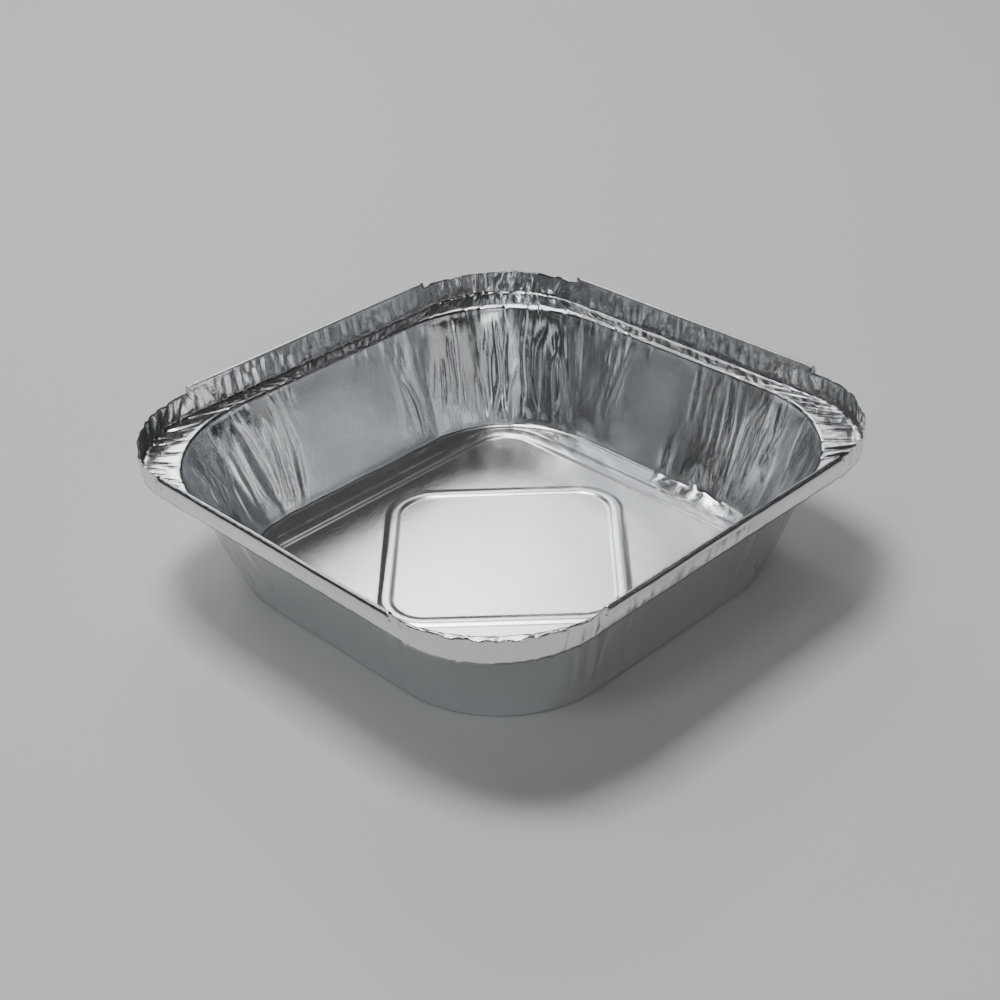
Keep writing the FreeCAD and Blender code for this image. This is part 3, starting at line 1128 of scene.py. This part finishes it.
COOL = (0.90, 0.96, 1.0)
LIGHTS = tuple(Softbox(*row) for row in (
    ("window_behind", 226.0, 36.5, (0.35, 0.35), 1.8),
    ("window_left", 233.0, 40.0, (0.35, 0.35), 1.7),
    ("window_right", 213.0, 30.0, (0.35, 0.35), 0.7),
    ("window_edge", 240.0, 29.0, (0.35, 0.35), 2.4),
    ("left_side", 288.0, 48.0, (0.35, 0.35), 1.8, COOL),
    ("left_high", 286.0, 63.0, (0.35, 0.35), 1.3, COOL),
    ("left_front", 8.0, 44.0, (0.4, 0.4), 3.8, COOL),
    ("front_low", 8.0, 20.0, (0.35, 0.35), 0.4, COOL),
    ("fill_front", 48.0, 26.0, (0.35, 0.35), 1.5, COOL),
    ("fill_right", 66.0, 30.0, (0.35, 0.35), 0.3),
    ("room_front", 50.0, 13.0, (1.3, 0.4), 1.0, COOL),
    ("room_right", 100.0, 13.0, (1.3, 0.4), 0.9),
    ("near_high", 46.0, 72.0, (0.6, 0.3), 0.5),
    ("window_top", 226.0, 58.0, (0.5, 0.5), 1.0),
    ("window_far_left", 254.0, 26.0, (0.4, 0.35), 1.0),
    ("overhead", 200.0, 84.0, (0.5, 0.3), 0.5),
    ("strip_left", 310.0, 35.0, (0.3, 0.1), 0.3),
    ("strip_right", 139.0, 38.0, (0.3, 0.1), 0.3),
    ("sky_above", 265.0, 75.0, (0.7, 0.7), 24.0),
))


@dataclass(frozen=True)
class Studio:
    """Pale floor, soft light, and the camera at the photograph's angle."""

    azimuth_deg: float = 46.55
    elevation_deg: float = 31.94
    roll_deg: float = -2.57
    distance: float = 0.7499
    target: tuple[float, float, float] = (-0.0303, 0.0274, 0.0)
    focal_length_px: float = 1762.6
    image_size_px: float = 1000.0
    sensor_mm: float = 36.0
    floor_half: float = 2.5
    floor_colour: Colour = (0.87, 0.865, 0.855, 1.0)
    floor_roughness: float = 0.6
    world_colour: Colour = (0.035, 0.035, 0.035 * 1.03, 1.0)

    def add_camera(self) -> None:
        """Adds the camera: back along the azimuth and elevation from the target, then rolled."""
        roll = math.radians(self.roll_deg)
        back = direction(self.azimuth_deg, self.elevation_deg)
        right = (-back).cross(Vector((0, 0, 1))).normalized()
        up = right.cross(-back)
        across = math.cos(roll) * right + math.sin(roll) * up
        upright = math.cos(roll) * up - math.sin(roll) * right
        data = bpy.data.cameras.new("camera")
        data.sensor_width = self.sensor_mm
        data.lens = self.focal_length_px / self.image_size_px * self.sensor_mm
        data.clip_start = 0.01
        camera = placed("camera", data)
        turn = Matrix((across, upright, back)).transposed().to_4x4()
        camera.matrix_world = Matrix.Translation(Vector(self.target) + back * self.distance) @ turn
        bpy.context.scene.camera = camera

    def add_floor(self) -> bpy.types.Object:
        """Adds the pale floor.

        Returns:
            The floor's object.
        """
        h = self.floor_half
        mesh = bpy.data.meshes.new("floor")
        mesh.from_pydata([(-h, -h, 0), (h, -h, 0), (h, h, 0), (-h, h, 0)], [], [(0, 1, 2, 3)])
        floor = placed("floor", mesh)
        material = bpy.data.materials.new("pale_floor")
        material.use_nodes = True
        shader = material.node_tree.nodes["Principled BSDF"]
        shader.inputs["Base Color"].default_value = self.floor_colour
        shader.inputs["Roughness"].default_value = self.floor_roughness
        mesh.materials.append(material)
        return floor

    def add_light(self) -> None:
        """Adds the world and the softboxes."""
        world = bpy.data.worlds.new("studio")
        world.use_nodes = True
        world.node_tree.nodes["Background"].inputs["Color"].default_value = self.world_colour
        bpy.context.scene.world = world
        for box in LIGHTS:
            box.build()


def main() -> None:
    """Builds the tray, its finish and the studio in order."""
    logging.basicConfig(level=logging.INFO)
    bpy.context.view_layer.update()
    low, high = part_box("foil_tray")
    LOG.info("frame box %s to %s", tuple(low), tuple(high))
    tray = TrayBuilder().build()
    tray.data.materials.append(FoilFinish().material())
    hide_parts("foil_tray")
    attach(tray, "root")
    LOG.info("tray: %d points, %d faces", len(tray.data.vertices), len(tray.data.polygons))
    studio = Studio()
    studio.add_floor()
    studio.add_light()
    studio.add_camera()
    LOG.info("studio ready")


if __name__ == "__main__":
    main()
